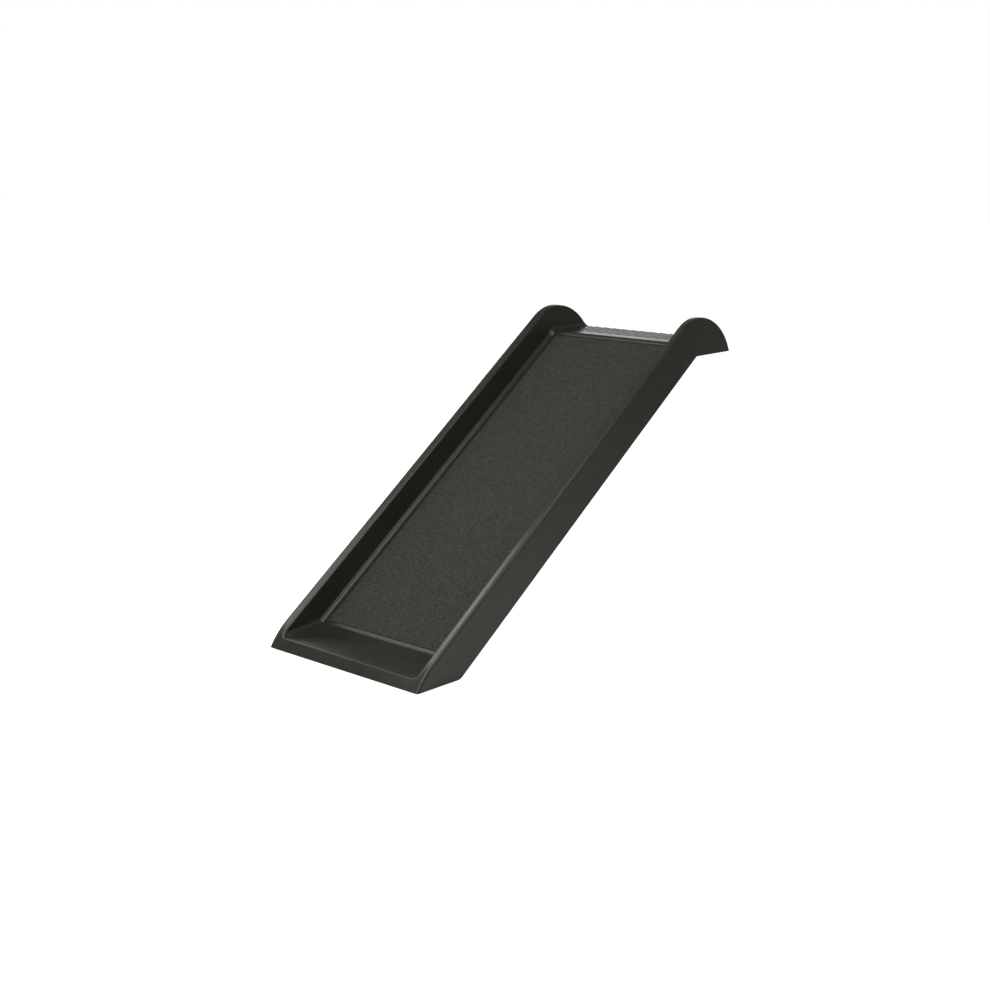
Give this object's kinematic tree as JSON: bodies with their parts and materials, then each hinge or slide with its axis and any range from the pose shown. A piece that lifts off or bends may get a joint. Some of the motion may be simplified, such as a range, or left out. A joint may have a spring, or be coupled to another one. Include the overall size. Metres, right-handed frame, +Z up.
{
  "type": "dog ramp",
  "caption": "Short one-piece moulded dog ramp with side rails, a grit-faced mat, a toe plate, and a hooked top with a level deck that rests on a sill.",
  "frame": {"origin": "on the floor under the middle of the ramp, halfway from the toe tip to the tip of the hook", "axes": "+X across the ramp to the right when walking up, +Y up the climb from toe to hook, +Z up; the foot is flat on the floor and the hook is level"},
  "size_m": [0.38, 0.8772, 0.5557],
  "materials": {
    "moulded_plastic": "fine-textured black moulding",
    "grip_surface": "matt mineral grit on a rubber sheet",
    "adhesive_film": "thin clear-grey film",
    "pad_rubber": "soft matt rubber",
    "zinc_steel": "zinc-plated steel"
  },
  "bodies": {
    "root": {"ramp_shell": "moulded_plastic", "grip_mat": "grip_surface", "mat_adhesive": "adhesive_film", "toe_foot_1": "pad_rubber", "toe_washer_1": "zinc_steel", "toe_screw_1": "zinc_steel", "toe_foot_2": "pad_rubber", "toe_washer_2": "zinc_steel", "toe_screw_2": "zinc_steel", "toe_foot_3": "pad_rubber", "toe_washer_3": "zinc_steel", "toe_screw_3": "zinc_steel", "toe_foot_4": "pad_rubber", "toe_washer_4": "zinc_steel", "toe_screw_4": "zinc_steel", "sill_pad_1": "pad_rubber", "sill_washer_1": "zinc_steel", "sill_screw_1": "zinc_steel", "sill_pad_2": "pad_rubber", "sill_washer_2": "zinc_steel", "sill_screw_2": "zinc_steel", "sill_pad_3": "pad_rubber", "sill_washer_3": "zinc_steel", "sill_screw_3": "zinc_steel", "sill_pad_4": "pad_rubber", "sill_washer_4": "zinc_steel", "sill_screw_4": "zinc_steel"}
  },
  "joints": []
}
